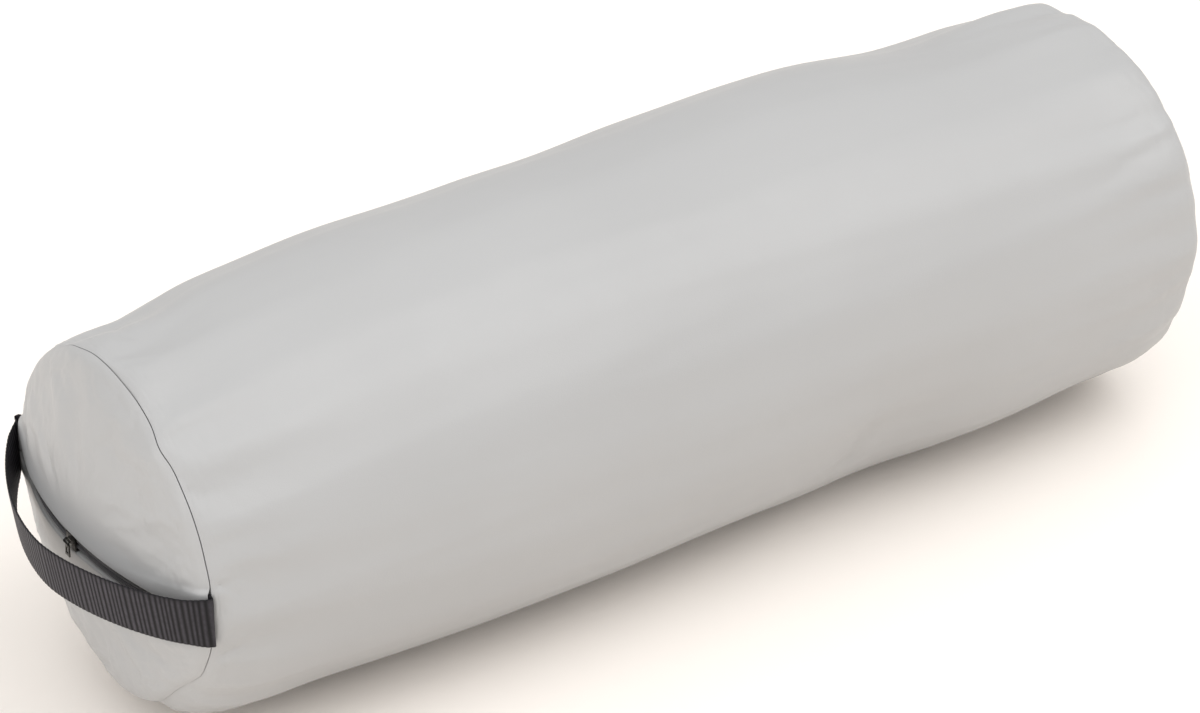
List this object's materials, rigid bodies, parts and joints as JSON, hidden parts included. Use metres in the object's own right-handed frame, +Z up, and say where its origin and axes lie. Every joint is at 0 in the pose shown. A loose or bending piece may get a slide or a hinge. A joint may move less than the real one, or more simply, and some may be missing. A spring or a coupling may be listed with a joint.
{
  "type": "massage bolster pillow",
  "caption": "Full-round massage bolster with a smooth light-grey cover, domed ends, a zip across one end and a dark webbing carrying handle.",
  "frame": {"origin": "middle of the flat strip that the bolster rests on, halfway between its end seams", "axes": "+Z up, X along the bolster with the zip and handle at the -X end, Y across it along the zip's line"},
  "size_m": [0.6845, 0.2258, 0.2232],
  "materials": {
    "cover": "smooth light-grey coated fabric with a fine grain and a soft sheen",
    "webbing": "charcoal ribbed webbing",
    "zip_tape": "grey woven tape",
    "zip_coil": "grey moulded coil",
    "zip_metal": "dark nickel plating",
    "thread": "light-grey sewing thread",
    "foam": "cream open-cell foam",
    "wadding": "white fibre wadding"
  },
  "bodies": {
    "root": {"cover_body_panel": "cover", "end_panel_closed": "cover", "end_panel_zip_upper": "cover", "end_panel_zip_lower": "cover", "body_seam_thread": "thread", "end_seam_thread_closed": "thread", "end_seam_thread_zip": "thread", "foam_core": "foam", "wadding_wrap": "wadding", "wadding_pad_closed": "wadding", "wadding_pad_zip": "wadding", "zip_tape_upper": "zip_tape", "zip_tape_lower": "zip_tape", "zip_coil_upper": "zip_coil", "zip_coil_lower": "zip_coil", "zip_seam_thread_upper": "thread", "zip_seam_thread_lower": "thread", "zip_top_stop_upper": "zip_metal", "zip_top_stop_lower": "zip_metal", "zip_bottom_stop": "zip_metal", "handle_end_left": "webbing", "handle_end_right": "webbing", "handle_bartack_left": "thread", "handle_bartack_right": "thread"},
    "slider": {"zip_slider": "zip_metal"},
    "pull": {"zip_pull": "zip_metal"},
    "handle": {"handle_strap": "webbing"}
  },
  "joints": [
    {"name": "zip_travel", "type": "hinge", "parent": "root", "child": "slider", "pos_m": [-0.10843, 0, 0.1072], "axis": [0, 0, -1], "range_deg": [-20.4, 17.3]},
    {"name": "pull_swing", "type": "hinge", "parent": "slider", "child": "pull", "pos_m": [-0.33475, 0.00608, 0.10716], "axis": [0.0269, 0.9996, 0], "range_deg": [-8, 70]},
    {"name": "handle_swing", "type": "hinge", "parent": "root", "child": "handle", "pos_m": [-0.31005, 0, 0.1102], "axis": [0, 1, 0], "range_deg": [-15, 30], "stiffness_Nm_per_rad": 0.03}
  ]
}
